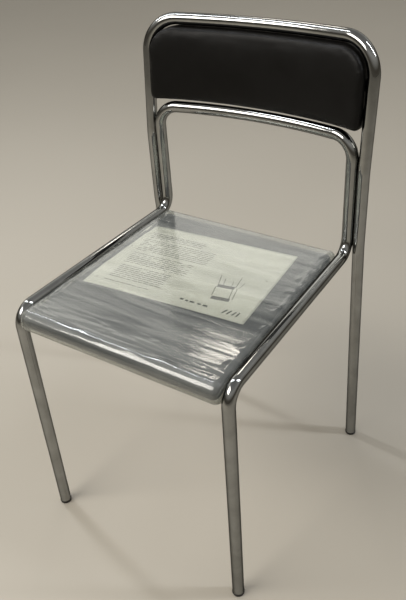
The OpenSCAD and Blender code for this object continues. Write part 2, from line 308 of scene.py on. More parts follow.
# %% [markdown]
# ## Paper, ink and the floor
# Copier paper is warm white and matt, with a faint mottle. The print is a soft grey toner. The
# studio's floor is a plain warm pale sheet. All of them are one matt surface whose colour drifts
# between two values.

# %% Matt surfaces
def matt(name, scale, detail, low, high, roughness):
    mat, tree, place = new_material(name)
    shade = ramp(tree, cloud(tree, place, scale, detail), [(0.3, low), (0.7, high)])
    finish_with(tree, principled(tree, shade, roughness))
    return mat


paper = matt("copier_paper", 60.0, 4.0, "#f3f1e2", "#faf8ec", 0.8)
text_ink = matt("pale_grey_toner", 900.0, 2.0, "#85837a", "#98968c", 0.6)
line_ink = matt("dark_grey_toner", 900.0, 2.0, "#4b4a43", "#605e55", 0.6)
floor_sheet = matt("pale_floor", 0.8, 2.0, "#b0aa9e", "#b5afa3", 0.7)

# %% [markdown]
# ## Making plain meshes
# Several pieces are rings of points joined in rows, like the hoops of a barrel. One helper skins
# such rings, closes the ends, merges doubled points and makes every face point outwards.

# %% Skin rows of points into a closed mesh
def mesh_piece(name, verts, faces, material, smooth=True):
    mesh = bpy.data.meshes.new(name)
    mesh.from_pydata([tuple(v) for v in verts], [], faces)
    work = bmesh.new()
    work.from_mesh(mesh)
    bmesh.ops.remove_doubles(work, verts=work.verts, dist=2e-6)
    bmesh.ops.recalc_face_normals(work, faces=work.faces)
    work.to_mesh(mesh)
    work.free()
    for polygon in mesh.polygons:
        polygon.use_smooth = smooth
    mesh.materials.append(material)
    piece = bpy.data.objects.new(name, mesh)
    scene.collection.objects.link(piece)
    return piece


def ring_faces(rings, count, closed=True, first_cap=False, last_cap=False):
    faces = []
    for r in range(rings - 1):
        for c in range(count if closed else count - 1):
            d = (c + 1) % count
            faces.append((r * count + c, r * count + d, (r + 1) * count + d, (r + 1) * count + c))
    if first_cap:
        faces.append(tuple(range(count)))
    if last_cap:
        faces.append(tuple((rings - 1) * count + c for c in range(count)))
    return faces


def place_on(piece, body="root", slot=None, *nodes):
    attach(piece, body)
    if nodes:
        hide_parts(*nodes)
    return piece


# %% [markdown]
# ## Geometry Nodes helpers
# A small tree is built here in the script for each thing that repeats. Its sizes are named inputs.
# The result is turned into a plain mesh and the modifier goes, because the finished model keeps
# meshes only.

# %% Build and apply a node tree
def new_tree(name, sizes):
    tree = bpy.data.node_groups.new(name, "GeometryNodeTree")
    tree.interface.new_socket("Geometry", in_out="INPUT", socket_type="NodeSocketGeometry")
    for label, (kind, value) in sizes.items():
        socket = tree.interface.new_socket(label, in_out="INPUT", socket_type=kind)
        socket.default_value = value
    tree.interface.new_socket("Geometry", in_out="OUTPUT", socket_type="NodeSocketGeometry")
    return tree, add(tree, "NodeGroupInput").outputs


def xyz(tree, **parts):
    return add(tree, "ShaderNodeCombineXYZ", parts).outputs[0]


def chance(tree, kind, **inputs):
    return add(tree, "FunctionNodeRandomValue", inputs, data_type=kind).outputs["Value"]


def repeat(tree, points, thing, **more):
    """Puts a copy of thing on every point, not yet turned into real geometry."""
    inputs = {"Points": points, "Instance": thing, **more}
    return add(tree, "GeometryNodeInstanceOnPoints", inputs).outputs[0]


def realize(tree, geometry):
    return add(tree, "GeometryNodeRealizeInstances", {"Geometry": geometry}).outputs[0]


def finish_tree(tree, geometry, material):
    inputs = {"Geometry": realize(tree, geometry), "Material": material}
    coated = add(tree, "GeometryNodeSetMaterial", inputs)
    add(tree, "NodeGroupOutput", {"Geometry": coated.outputs[0]})


def apply_tree(name, base_mesh, tree, values, material, smooth=True):
    """Runs the tree on base_mesh and returns the result as an object with a plain mesh."""
    seed = bpy.data.objects.new(name + "_base", base_mesh)
    scene.collection.objects.link(seed)
    modifier = seed.modifiers.new("tree", "NODES")
    modifier.node_group = tree
    for item in tree.interface.items_tree:
        if item.in_out == "INPUT" and item.name in values:
            modifier[item.identifier] = values[item.name]
    seed.update_tag()
    graph = bpy.context.evaluated_depsgraph_get()
    mesh = bpy.data.meshes.new_from_object(seed.evaluated_get(graph), depsgraph=graph)
    seed.modifiers.remove(modifier)
    bpy.data.objects.remove(seed)
    mesh.name = name
    mesh.materials.clear()
    mesh.materials.append(material)
    for polygon in mesh.polygons:
        polygon.use_smooth = smooth
        polygon.material_index = 0
    piece = bpy.data.objects.new(name, mesh)
    scene.collection.objects.link(piece)
    print(name, "has", len(mesh.polygons), "faces")
    return piece


def line_mesh(name, points, edges=True):
    mesh = bpy.data.meshes.new(name)
    links = [(i, i + 1) for i in range(len(points) - 1)] if edges else []
    mesh.from_pydata([tuple(p) for p in points], links, [])
    return mesh


# %% [markdown]
# ## The two hoops
# Each hoop is one tube bent on a machine: straight runs and true arcs, nothing else. A small
# "turtle" walks the same path as the frame's solid, dropping points every two degrees in the
# bends. A node tree then sweeps a circle along them. Sweeping again is worth it because a mirror
# shows every facet of a coarse mesh.

# %% Walk a tube's middle line
class Walker:
    def __init__(self, start):
        self.at = start
        self.points = [start.translation.copy()]

    def run(self, length):
        self.at = self.at @ Matrix.Translation((0, 0, length))
        self.points.append(self.at.translation.copy())

    def bend(self, toward, radius, angle, step=radians(2)):
        turn = self.at @ Matrix.Rotation(toward, 4, "Z") @ Matrix.Translation((radius, 0, 0))
        back = Matrix.Translation((-radius, 0, 0)) @ Matrix.Rotation(-toward, 4, "Z")
        count = max(3, round(angle / step))
        for k in range(1, count + 1):
            self.at = turn @ Matrix.Rotation(angle * k / count, 4, "Y") @ back
            self.points.append(self.at.translation.copy())


def both_sides(points):
    mirrored = [Vector((-p.x, p.y, p.z)) for p in points[1:]]
    return mirrored[::-1] + points


def rear_path():
    top = Vector((0, MID_Y + tan(RAKE) * (TOP_H - BACK_BEND_H) + TOP_SAG * cos(RAKE),
        TOP_H - TOP_SAG * sin(RAKE)))
    walk = Walker(Matrix.Translation(top) @ Matrix.Rotation(-RAKE, 4, "X") @ Matrix.Rotation(pi / 2,
        4, "Y"))
    bend_a, bend_b = SIDE_BEND * tan(RAKE / 2), SIDE_BEND * tan(SPLAY / 2)
    walk.bend(-pi / 2, TOP_R, TOP_BOW, radians(1))
    walk.bend(0, TOP_CORNER, pi / 2)
    walk.run(LEAN_LEN - TOP_CORNER - bend_a)
    walk.bend(pi / 2 - TOP_BOW, SIDE_BEND, RAKE, radians(0.5))
    walk.run(BACK_BEND_H - LEG_BEND_H - bend_a - bend_b)
    walk.bend(pi / 2 - TOP_BOW, SIDE_BEND, SPLAY, radians(0.5))
    walk.run(LEG_BEND_H / cos(SPLAY) - bend_b - FOOT_T)
    return both_sides(walk.points)


def front_path():
    walk = Walker(Matrix.Translation((0, MID_Y + LOW_SAG, LOW_RAIL_H)) @ Matrix.Rotation(pi / 2, 4,
        "Y"))
    walk.bend(-pi / 2, LOW_R, LOW_BOW, radians(1))
    walk.bend(0, LOW_CORNER, pi / 2)
    walk.run(LOW_RAIL_H - RAIL_H - LOW_CORNER - RAIL_BEND)
    walk.bend(radians(270) - LOW_BOW - YAW, RAIL_BEND, pi / 2)
    walk.run(RAIL_LEN - 2 * RAIL_BEND)
    walk.bend(radians(90) - LOW_BOW - YAW, RAIL_BEND, pi / 2)
    walk.run(RAIL_H - RAIL_BEND - FOOT_T)
    return both_sides(walk.points)


# %% Sweep the tubes with Geometry Nodes
SIDES = 48
tube_tree, given = new_tree("swept_tube", {
    "Tube Radius": ("NodeSocketFloat", TUBE_R), "Sides": ("NodeSocketInt", SIDES)})
wire = add(tube_tree, "GeometryNodeMeshToCurve", {"Mesh": given["Geometry"]})
profile = add(tube_tree, "GeometryNodeCurvePrimitiveCircle",
              {"Resolution": given["Sides"], "Radius": given["Tube Radius"]})
swept = add(tube_tree, "GeometryNodeCurveToMesh",
            {"Curve": wire.outputs[0], "Profile Curve": profile.outputs["Curve"],
            "Fill Caps": True})
finish_tree(tube_tree, swept.outputs[0], chrome)


def tube(name, points, node):
    base = line_mesh(name + "_line", points)
    piece = apply_tree(name, base, tube_tree, {"Tube Radius": TUBE_R, "Sides": SIDES}, chrome)
    length = sum((b - a).length for a, b in zip(points, points[1:]))
    print(name, "tube length", round(length, 3), "m")
    for polygon in piece.data.polygons:
        if len(polygon.vertices) > 4:
            polygon.use_smooth = False
    return place_on(piece, "root", "chrome_tube", node)


tube("rear_hoop_tube", rear_path(), "rear_hoop")
tube("front_hoop_tube", front_path(), "front_hoop")

# %% [markdown]
# ## Weld beads
# A weld laid by hand is a row of overlapping frozen puddles. A line of squashed spheres, each
# given a slightly different size with a fixed seed, reads as one rippled bead.

# %% Rippled beads behind the uprights
bead_tree, given = new_tree("weld_bead", {
    "Bead Width": ("NodeSocketFloat", 5.6 * MM), "Ripple Pitch": ("NodeSocketFloat", 1.6 * MM),
    "Ripples": ("NodeSocketInt", 10), "Seed": ("NodeSocketInt", 7)})
up_step = xyz(bead_tree, Z=given["Ripple Pitch"])
row = add(bead_tree, "GeometryNodeMeshLine", {"Count": given["Ripples"], "Offset": up_step},
    mode="OFFSET")
spots = realize(bead_tree, repeat(bead_tree, given["Geometry"], row.outputs[0]))
puddle = add(bead_tree, "GeometryNodeMeshIcoSphere", {"Radius": 0.5, "Subdivisions": 3})
vary = chance(bead_tree, "FLOAT", Min=0.9, Max=1.08, Seed=given["Seed"])
wide = maths(bead_tree, "MULTIPLY", given["Bead Width"], vary)
deep = maths(bead_tree, "MULTIPLY", wide, 0.6)
tall = maths(bead_tree, "MULTIPLY", given["Ripple Pitch"], 1.9)
laid = repeat(bead_tree, spots, puddle.outputs[0], Scale=xyz(bead_tree, X=wide, Y=deep, Z=tall))
finish_tree(bead_tree, laid, weld_skin)

bead_x = (HALF_W + IN_HALF) / 2
weld_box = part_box("hoop_welds")
bead_heights = (weld_box[0][2] + 1 * MM, weld_box[1][2] - 15.4 * MM)
bead_feet = [(s * bead_x, MID_Y + 5.3 * MM, z) for s in (-1, 1) for z in bead_heights]
bead_base = line_mesh("bead_feet", bead_feet, False)
beads = apply_tree("weld_beads", bead_base, bead_tree, {"Ripples": 10}, weld_skin)
place_on(beads, "root", "weld_metal", "hoop_welds")

# %% [markdown]
# ## The seat's shape
# Seen from the side the seat is a slab with a "waterfall" roll at the front and a short ramp under
# it. Its outline is a closed row of points. Rows are set across the width, and past the sides each
# row shrinks toward the slab's core round a small radius, and a flat face closes each end.
# The cushion and the film are the same shape, grown by different amounts.

# %% Side outline of the seat, and its core
HALF_SEAT = 180 * MM


def side_half(y, grow):
    """Half the seat's width at y: it follows the rails as they open toward the front."""
    return IN_HALF + (MID_Y - y) * tan(YAW) - TUBE_R - 1.7 * MM + grow


def seat_outline(grow, corner, step=4 * MM):
    top, low, rear = SEAT_TOP + grow, SEAT_LOW - grow, SEAT_REAR + grow
    ramp_y = ROLL_Y + RAMP
    radius = ROLL_R + grow
    points = []

    def line(a, b):
        count = max(2, int(hypot(b[0] - a[0], b[1] - a[1]) / step))
        for k in range(count):
            points.append((a[0] + (b[0] - a[0]) * k / count, a[1] + (b[1] - a[1]) * k / count))

    def arc(cy, cz, r, a0, a1, count):
        for k in range(count):
            a = radians(a0 + (a1 - a0) * k / count)
            points.append((cy + r * cos(a), cz + r * sin(a)))

    line((rear - corner, low), (ramp_y, low))
    line((ramp_y, low), (ROLL_Y + 2 * MM, ROLL_Z - radius + 0.2 * MM))
    arc(ROLL_Y, ROLL_Z, radius, 275, 90, 26)
    line((ROLL_Y, top), (rear - corner, top))
    arc(rear - corner, top - corner, corner, 90, 0, 6)
    line((rear, top - corner), (rear, low + corner))
    arc(rear - corner, low + corner, corner, 0, -90, 6)
    return points


def seat_core(y, z):
    """The point of the slab's core that a point of the outline shrinks toward."""
    mid = (SEAT_TOP + SEAT_LOW) / 2
    cy = min(max(y, ROLL_Y), SEAT_REAR - 11 * MM)
    blend = min(max((ROLL_Y + RAMP - cy) / RAMP, 0), 1)
    return cy, mid + (ROLL_Z - mid) * blend


def seat_form(name, grow, corner, side_round, material, step=4 * MM):
    outline = seat_outline(grow, corner, step)
    columns = int(2 * HALF_SEAT / step)
    stations = [(-1 + 2 * k / columns, 0.0) for k in range(columns + 1)]
    for k in range(1, 7):
        a = radians(15 * k)
        inset = side_round * (1 - cos(a))
        stations.append((1 + sin(a), inset))
        stations.insert(0, (-1 - sin(a), inset))
    verts = []
    for across, inset in stations:
        for y, z in outline:
            cy, cz = seat_core(y, z)
            gap = hypot(y - cy, z - cz)
            pull = min(inset / gap, 1) if gap else 0
            half = side_half(y, grow)
            flat = half - side_round
            s = 1 if across > 0 else -1
            x = across * flat if abs(across) <= 1 else s * (flat + side_round * (abs(across) - 1))
            verts.append((x, y + (cy - y) * pull, z + (cz - z) * pull))
    faces = ring_faces(len(stations), len(outline), first_cap=True, last_cap=True)
    return mesh_piece(name, verts, faces, material)


# %% [markdown]
# ## Puffing a pad with cloth
# Foam pushes its cover outwards until the cover is tight. Blender's cloth does the same with a
# little pressure inside a closed mesh, no gravity, and the underside held still. The travel of
# each point is capped softly, so the pad crowns by a few millimetres and stays in its place.

# %% Cloth puff with a cap
def read_points(mesh):
    flat = np.empty(len(mesh.vertices) * 3)
    mesh.vertices.foreach_get("co", flat)
    return flat.reshape(-1, 3)


def puff(piece, held, cap, pressure=4.0, frames=20):
    start = read_points(piece.data)
    group = piece.vertex_groups.new(name="held")
    group.add([i for i, v in enumerate(piece.data.vertices) if held(v.co)], 1.0, "REPLACE")
    cloth = piece.modifiers.new("cloth", "CLOTH")
    cloth.settings.quality = 5
    cloth.settings.mass = 0.3
    cloth.settings.use_pressure = True
    cloth.settings.uniform_pressure_force = pressure
    cloth.settings.vertex_group_mass = "held"
    cloth.settings.effector_weights.gravity = 0
    cloth.collision_settings.use_self_collision = False
    cloth.point_cache.frame_start, cloth.point_cache.frame_end = 1, frames
    for f in range(1, frames + 1):
        scene.frame_set(f)
    graph = bpy.context.evaluated_depsgraph_get()
    shape = piece.evaluated_get(graph).to_mesh()
    moved = read_points(shape) - start
    piece.evaluated_get(graph).to_mesh_clear()
    piece.modifiers.remove(cloth)
    scene.frame_set(1)
    travel = np.linalg.norm(moved, axis=1, keepdims=True)
    moved = moved * cap / (cap + travel)
    piece.data.vertices.foreach_set("co", (start + moved).ravel())
    piece.data.update()
    piece.vertex_groups.clear()
    print(piece.name, "puffed by up to", round(float(np.linalg.norm(moved, axis=1).max()) / MM, 2),
        "mm")


def even_quads(piece, size):
    """Voxel remesh, so that the cloth has the same small squares everywhere."""
    remesh = piece.modifiers.new("remesh", "REMESH")
    remesh.mode, remesh.voxel_size, remesh.use_smooth_shade = "VOXEL", size, True
    graph = bpy.context.evaluated_depsgraph_get()
    mesh = bpy.data.meshes.new_from_object(piece.evaluated_get(graph), depsgraph=graph)
    piece.modifiers.remove(remesh)
    material = piece.data.materials[0]
    piece.data = mesh
    mesh.materials.clear()
    mesh.materials.append(material)
    print(piece.name, "remeshed to", len(mesh.polygons), "squares")


def refine(piece):
    smoother = piece.modifiers.new("smooth", "SUBSURF")
    smoother.levels = smoother.render_levels = 1


# %% [markdown]
# ## Seat cushion
# The cushion sits in its film, crowned a little, flat where it rests on the board. It starts about
# 2 mm slimmer than its solid, because the puff fills that again.

# %% Seat cushion
seat_pad = seat_form("seat_cushion_cover", -2.2 * MM, 6 * MM, 10 * MM, seat_vinyl, 5 * MM)
even_quads(seat_pad, 4.5 * MM)
puff(seat_pad, lambda p: p.z < SEAT_LOW + 4 * MM and p.y > ROLL_Y + 25 * MM, 2.0 * MM)
refine(seat_pad)
place_on(seat_pad, "root", "seat_vinyl", "seat_cushion")

# %% [markdown]
# ## Clear film round the seat
# The film is the same shape a little larger, with its underside open inside a turned-in edge. Its
# wrinkles follow how it was pulled on: long low folds run parallel to the front roll, short ones
# gather beside the rails, and the rest is a gentle wave. The folds are real displacement; the
# finest crumpling is left to the material.

# %% Film with folds
def fold(value, sharp):
    """A ridge: 1 on the line where the noise crosses zero, falling off quickly to both sides."""
    return max(0.0, 1 - abs(value) * sharp) ** 2


def film_lift(x, y, z):
    """How far the film stands off its plain shape, in metres, at a point of it."""
    lift = 0.35 * MM * noise.noise(Vector((x * 9, y * 16, z * 9)))
    front = max(0.0, 1 - abs(y - (ROLL_Y + 12 * MM)) / (34 * MM))
    around = pi / 2 - (y - ROLL_Y) / ROLL_R
    if y < ROLL_Y + 2 * MM:
        around = atan2(z - ROLL_Z, y - ROLL_Y)
    n = noise.noise(Vector((x * 4.5, around * 3.0, 3.1)))
    lift += front * 1.3 * MM * fold(n, 7)
    n = noise.noise(Vector((x * 6.0 + 5, around * 4.5, 9.7)))
    lift += front * 0.8 * MM * fold(n, 6)
    side = max(0.0, 1 - (side_half(y, 0) - abs(x)) / (26 * MM))
    n = noise.noise(Vector((x * 70, y * 22, 1.3)))
    lift += side * 1.0 * MM * fold(n, 3) * (1.5 if x > 0 else 0.7)
    return lift


film_grow = 1.15 * MM
film = seat_form("seat_film_wrap", film_grow, 5 * MM, 10 * MM, film_clear, 3 * MM)
work = bmesh.new()
work.from_mesh(film.data)
LIP = 30 * MM


def inside_lip(c):
    """True for a place under the seat that the film leaves bare."""
    between = ROLL_Y + RAMP + 6 * MM < c.y < SEAT_REAR - LIP
    return c.z < SEAT_LOW and abs(c.x) < side_half(c.y, 0) - LIP and between


under = [f for f in work.faces if inside_lip(f.calc_center_median())]
bmesh.ops.delete(work, geom=under, context="FACES")
work.normal_update()
for v in work.verts:
    on_side = abs(abs(v.co.x) - side_half(v.co.y, film_grow)) < 0.3 * MM
    lift = film_lift(v.co.x, v.co.y, v.co.z)
    if v.co.z < SEAT_LOW + 2 * MM and v.co.y > ROLL_Y:
        lift = min(lift, 0) * 0.2
    v.co += v.normal * (min(lift, 0.15 * MM) if on_side else lift)
work.to_mesh(film.data)
work.free()
wall = film.modifiers.new("wall", "SOLIDIFY")
wall.thickness, wall.offset = 0.15 * MM, -1
place_on(film, "root", "clear_film", "seat_film")

# %% [markdown]
# ## Printed sheet
# An A4 sheet lies between the cushion and the film, turned a few degrees. Paper is too stiff to
# follow every dimple, so each point takes the mean height of the pad round it, plus a slow wave.
# It is a fine grid of points with a real thickness.

# %% Sheet of paper
SHEET_AT = Vector((-14 * MM, MID_Y - 179 * MM, 0))
SHEET_TURN = radians(4)
LONG_EDGE, SHORT_EDGE = 0.297, 0.210


def height_over(tree, x, y):
    """Height of the top face at a place, or of the nearest point if the ray slips between two
    triangles."""
    hit = tree.ray_cast(Vector((x, y, 1)), Vector((0, 0, -1)))[0]
    return (hit or tree.find_nearest(Vector((x, y, SEAT_TOP)))[0]).z


pad_surface = BVHTree.FromObject(seat_pad, bpy.context.evaluated_depsgraph_get())
ROUND = [(a * 10 * MM, b * 10 * MM) for a in (-1, 0, 1) for b in (-1, 0, 1)]


def paper_height(x, y):
    mean = sum(height_over(pad_surface, x + a, y + b) for a, b in ROUND) / len(ROUND)
    return mean + 0.45 * MM + 0.1 * MM * noise.noise(Vector((x * 11, y * 11, 0)))


def on_sheet(p, q):
    """x and y of the place p along the sheet's long edge and q from its front edge."""
    u, v = p - LONG_EDGE / 2, q - SHORT_EDGE / 2
    across, along = cos(SHEET_TURN), sin(SHEET_TURN)
    return SHEET_AT.x + u * across - v * along, SHEET_AT.y + u * along + v * across


rows, columns = 43, 61
grid = [on_sheet(LONG_EDGE * c / (columns - 1), SHORT_EDGE * r / (rows - 1)) for r in range(rows)
    for c in range(columns)]
grid = [(x, y, paper_height(x, y)) for x, y in grid]
sheet = mesh_piece("printed_sheet", grid, ring_faces(rows, columns, closed=False), paper)
thick = sheet.modifiers.new("thickness", "SOLIDIFY")
thick.thickness, thick.offset = 0.15 * MM, 0
place_on(sheet, "root", "printed_paper", "paper_sheet")
paper_top = BVHTree.FromObject(sheet, bpy.context.evaluated_depsgraph_get())

# %% [markdown]
# ## Print on the sheet
# The sheet carries lines of text too small to read and a plain outline of a chair. The text is
# drawn as rows of grey dashes, one for each word. A node tree repeats them: it lays points along
# every line, drops some at random with a fixed seed, and puts a flat dash of random length on the
# rest. The chair is a few strokes. Every corner of the print is then laid on the paper's top face.

# %% Rows of words
word_tree, given = new_tree("text_lines", {
    "Word Pitch": ("NodeSocketFloat", 11.0 * MM), "Words": ("NodeSocketInt", 12),
    "Letter Height": ("NodeSocketFloat", 1.8 * MM), "Gaps": ("NodeSocketFloat", 0.07),
    "Seed": ("NodeSocketInt", 3),
    "Slant": ("NodeSocketFloat", SHEET_TURN)})
step_x = maths(word_tree, "MULTIPLY", given["Word Pitch"], cos(SHEET_TURN))
step_y = maths(word_tree, "MULTIPLY", given["Word Pitch"], sin(SHEET_TURN))
step = xyz(word_tree, X=step_x, Y=step_y)
row = add(word_tree, "GeometryNodeMeshLine", {"Count": given["Words"], "Offset": step},
    mode="OFFSET")
spots = realize(word_tree, repeat(word_tree, given["Geometry"], row.outputs[0]))
drop = chance(word_tree, "BOOLEAN", Probability=given["Gaps"], Seed=given["Seed"])
kept = add(word_tree, "GeometryNodeDeleteGeometry", {"Geometry": spots, "Selection": drop},
    domain="POINT")
dash = add(word_tree, "GeometryNodeMeshGrid", {"Size X": 1.0, "Size Y": 1.0, "Vertices X": 5,
    "Vertices Y": 2})
length = chance(word_tree, "FLOAT", Min=7.5 * MM, Max=10.9 * MM, Seed=given["Seed"])
size = xyz(word_tree, X=length, Y=given["Letter Height"], Z=1.0)
turn = xyz(word_tree, Z=given["Slant"])
words = repeat(word_tree, kept.outputs[0], dash.outputs[0], Rotation=turn, Scale=size)
finish_tree(word_tree, words, text_ink)

PRINT_LIFT = 0.05 * MM
LINE_PITCH = 5.2 * MM
text_blocks = (                # place of the first line, lines, words in a line
    (0.030, 0.184, 4, 10), (0.030, 0.160, 8, 13), (0.034, 0.112, 7, 11), (0.036, 0.070, 8, 9),
    (0.034, 0.021, 1, 8))
for number, (p, top, lines, count) in enumerate(text_blocks):
    starts = []
    for k in range(lines):
        shift = 6 * MM * noise.noise(Vector((number, k * 1.7, 0)))
        starts.append((*on_sheet(p + shift, top - LINE_PITCH * k), 0))
    base = line_mesh("text_starts", starts, False)
    values = {"Words": count, "Seed": 3 + number}
    text = apply_tree("sheet_text_" + str(number), base, word_tree, values, text_ink, False)
    for vertex in text.data.vertices:
        vertex.co.z = height_over(paper_top, vertex.co.x, vertex.co.y) + PRINT_LIFT
    place_on(text, "root", "printed_paper")

# %% Outline of a chair
def strokes(name, runs, material):
    verts, faces = [], []
    for (p0, q0), (p1, q1), width in runs:
        along = Vector((p1 - p0, q1 - q0))
        off = Vector((-along.y, along.x)).normalized() * width / 2
        steps = max(1, round(along.length / 2.5))
        base = len(verts)
        for k in range(steps + 1):
            for s in (1, -1):
                p, q = p0 + along.x * k / steps + off.x * s, q0 + along.y * k / steps + off.y * s
                x, y = on_sheet(p * MM, q * MM)
                verts.append((x, y, height_over(paper_top, x, y) + PRINT_LIFT))
        corners = ((base + 2 * k, base + 2 * k + 1, base + 2 * k + 3, base + 2 * k + 2)
            for k in range(steps))
        faces.extend(corners)
    return mesh_piece(name, verts, faces, material, False)


chair_lines = [
    ((219, 44), (250, 47), 8.5), ((213, 77), (242, 80), 8.0),
    ((217, 50), (212, 74), 1.2), ((253, 50), (247, 80), 1.2), ((247, 50), (241, 76), 1.2),
    ((213, 80), (205, 108), 1.1), ((222, 80), (216, 100), 1.0), ((243, 82), (240, 112), 1.2),
    ((249, 82), (251, 100), 1.0), ((236, 80), (232, 98), 0.9),
    ((176, 21), (182, 21), 4.2), ((186, 20), (191, 20), 4.0), ((194, 20), (202, 20), 4.0),
    ((208, 19.5), (214, 19.5), 4.0), ((218, 19), (226, 19), 4.2),
    ((254, 13), (259, 24), 2.6), ((262, 13), (266, 24), 2.6), ((271, 13), (274, 24), 2.6),
    ((278, 13), (280, 24), 2.6),
    ((12, 129), (14.5, 129), 2.5), ((13, 21), (15.5, 21), 2.5), ((279, 120), (281.5, 120), 2.5)]
drawing = strokes("sheet_drawing", chair_lines, line_ink)
place_on(drawing, "root", "printed_paper")

# %% [markdown]
# ## Back pad
# The pad is bowed to the same arc as the top rail and leans back with it. Rings of its outline run
# from the hidden back plane, out over the edge and on to the crowned front. Each ring is laid on
# the arc. The cloth puff then rounds it as foam would.

# %% Outline of the pad and its place on the leaning arc
PAD_SIDE = HALF_W - TUBE_R - 0.3 * MM
PAD_LOW = LOW_RAIL_H - BACK_BEND_H + TUBE_R + 2 * MM
PAD_TOP = LEAN_LEN - TUBE_R - 0.4 * MM
PAD_CORNER, PAD_FOOT = TOP_CORNER - TUBE_R, 8 * MM
PAD_T = 22 * MM
LEAN = Matrix.Translation((0, MID_Y, BACK_BEND_H)) @ Matrix.Rotation(-RAKE, 4,
    "X") @ Matrix.Translation((0, TOP_SAG - TOP_R, 0))


def on_back(x, u, radius):
    """A place behind or before the arc: x across, u up the back, radius from the arc's axis."""
    return LEAN @ Vector((x, sqrt(radius * radius - x * x), u))


def pad_outline(inset=0.0, step=5 * MM):
    s, t, b = PAD_SIDE - inset, PAD_TOP - inset, PAD_LOW + inset
    k, f = max(PAD_CORNER - inset, 2 * MM), max(PAD_FOOT - inset, 2 * MM)
    points = []

    def line(a, b_):
        count = max(2, int(hypot(b_[0] - a[0], b_[1] - a[1]) / step))
        for i in range(count):
            points.append((a[0] + (b_[0] - a[0]) * i / count, a[1] + (b_[1] - a[1]) * i / count))

    def arc(cx, cu, r, a0):
        count = max(4, int(r * pi / 2 / step))
        for i in range(count):
            turned = radians(a0 + 90 * i / count)
            points.append((cx + r * cos(turned), cu + r * sin(turned)))

    line((-s + f, b), (s - f, b))
    arc(s - f, b + f, f, -90)
    line((s, b + f), (s, t - k))
    arc(s - k, t - k, k, 0)
    line((s - k, t), (-s + k, t))
    arc(-s + k, t - k, k, 90)
    line((-s, t - k), (-s, b + f))
    arc(-s + f, b + f, f, 180)
    return points


def pad_rings(name, rings, material, base_inset=0.0):
    """rings are (distance in from the outline, distance in front of the board's face)."""
    outline = pad_outline(base_inset)
    mid = (PAD_LOW + PAD_TOP) / 2
    spacing = 8 * MM
    reach = int((PAD_SIDE - (PAD_TOP - PAD_LOW) / 2) / spacing) * spacing
    verts = []
    for inset, ahead in rings:
        for x, u in outline:
            cx = min(max(round(x / spacing) * spacing, -reach), reach)
            gap = hypot(x - cx, u - mid)
            pull = min(inset / gap, 1)
            verts.append(on_back(x + (cx - x) * pull, u + (mid - u) * pull, TOP_R - ahead))
    return mesh_piece(name, verts, ring_faces(len(rings), len(outline)), material)


# %% Back cushion
ALL_THE_WAY = 200 * MM        # an inset past the middle, where a ring closes on itself
BOARD_BACK = -7.2 * MM
SHOULDER, RISE, CROWN = 9 * MM, 7.5 * MM, 1.5 * MM
rings = [(inset, BOARD_BACK) for inset in (ALL_THE_WAY, 40 * MM, 24 * MM, 14 * MM, 8 * MM, 4 * MM,
    1.6 * MM)]
rings += [(0.5 * MM, BOARD_BACK + 0.6 * MM), (0, BOARD_BACK + 1.8 * MM)]
rings += [(0, ahead) for ahead in (-3 * MM, 0, 4 * MM, PAD_T - SHOULDER)]
for k in range(1, 9):
    a = radians(90 * k / 8)
    rings.append((SHOULDER * (1 - cos(a)), PAD_T - SHOULDER + RISE * sin(a)))
for k in range(1, 7):
    rings.append((SHOULDER + 8 * MM * k, PAD_T - CROWN + CROWN * sin(radians(90 * k / 6))))
rings.append((ALL_THE_WAY, PAD_T))
back_pad = pad_rings("back_cushion_cover", rings, back_vinyl, 0.4 * MM)


def behind(p):
    local = LEAN.inverted() @ p
    return hypot(local.x, local.y) > TOP_R - 4 * MM


even_quads(back_pad, 4.2 * MM)
puff(back_pad, behind, 2.2 * MM)
refine(back_pad)
place_on(back_pad, "root", "back_vinyl", "back_cushion")

# %% [markdown]
# ## Back panel
# A thin moulded panel hides the staples on the rear of the pad. It has the same outline and a
# rounded lip, so it is the same rings with a different depth.

# %% Back panel
NEAR_FACE, FAR_FACE = -7.4 * MM, -8.8 * MM
rings = [(inset, NEAR_FACE) for inset in (ALL_THE_WAY, 30 * MM, 6 * MM, 0.3 * MM)]
rings += [(0, -7.8 * MM), (0, FAR_FACE + 0.5 * MM), (0.4 * MM, FAR_FACE + 0.1 * MM)]
rings += [(inset, FAR_FACE) for inset in (1.2 * MM, 6 * MM, 14 * MM, 30 * MM, 50 * MM, ALL_THE_WAY)]
panel = pad_rings("back_panel", rings, panel_plastic, 1.0 * MM)
place_on(panel, "root", "back_panel", "back_cover")

# %% [markdown]
# ## Foot plugs
# Each leg ends in a turned plug: a stem that grips inside the tube and a flange on the floor. A
# side outline is spun round the leg's own line, then cut flat on the floor by moving every point
# below it up to it.

# %% Foot plugs
def lathe(name, outline, place, material, sides=40):
    verts = []
    for r, z in outline:
        for k in range(sides):
            a = 2 * pi * k / sides
            v = place @ Vector((r * cos(a), r * sin(a), z))
            verts.append((v.x, v.y, max(v.z, 0.0)))
    return mesh_piece(name, verts, ring_faces(len(outline), sides), material)


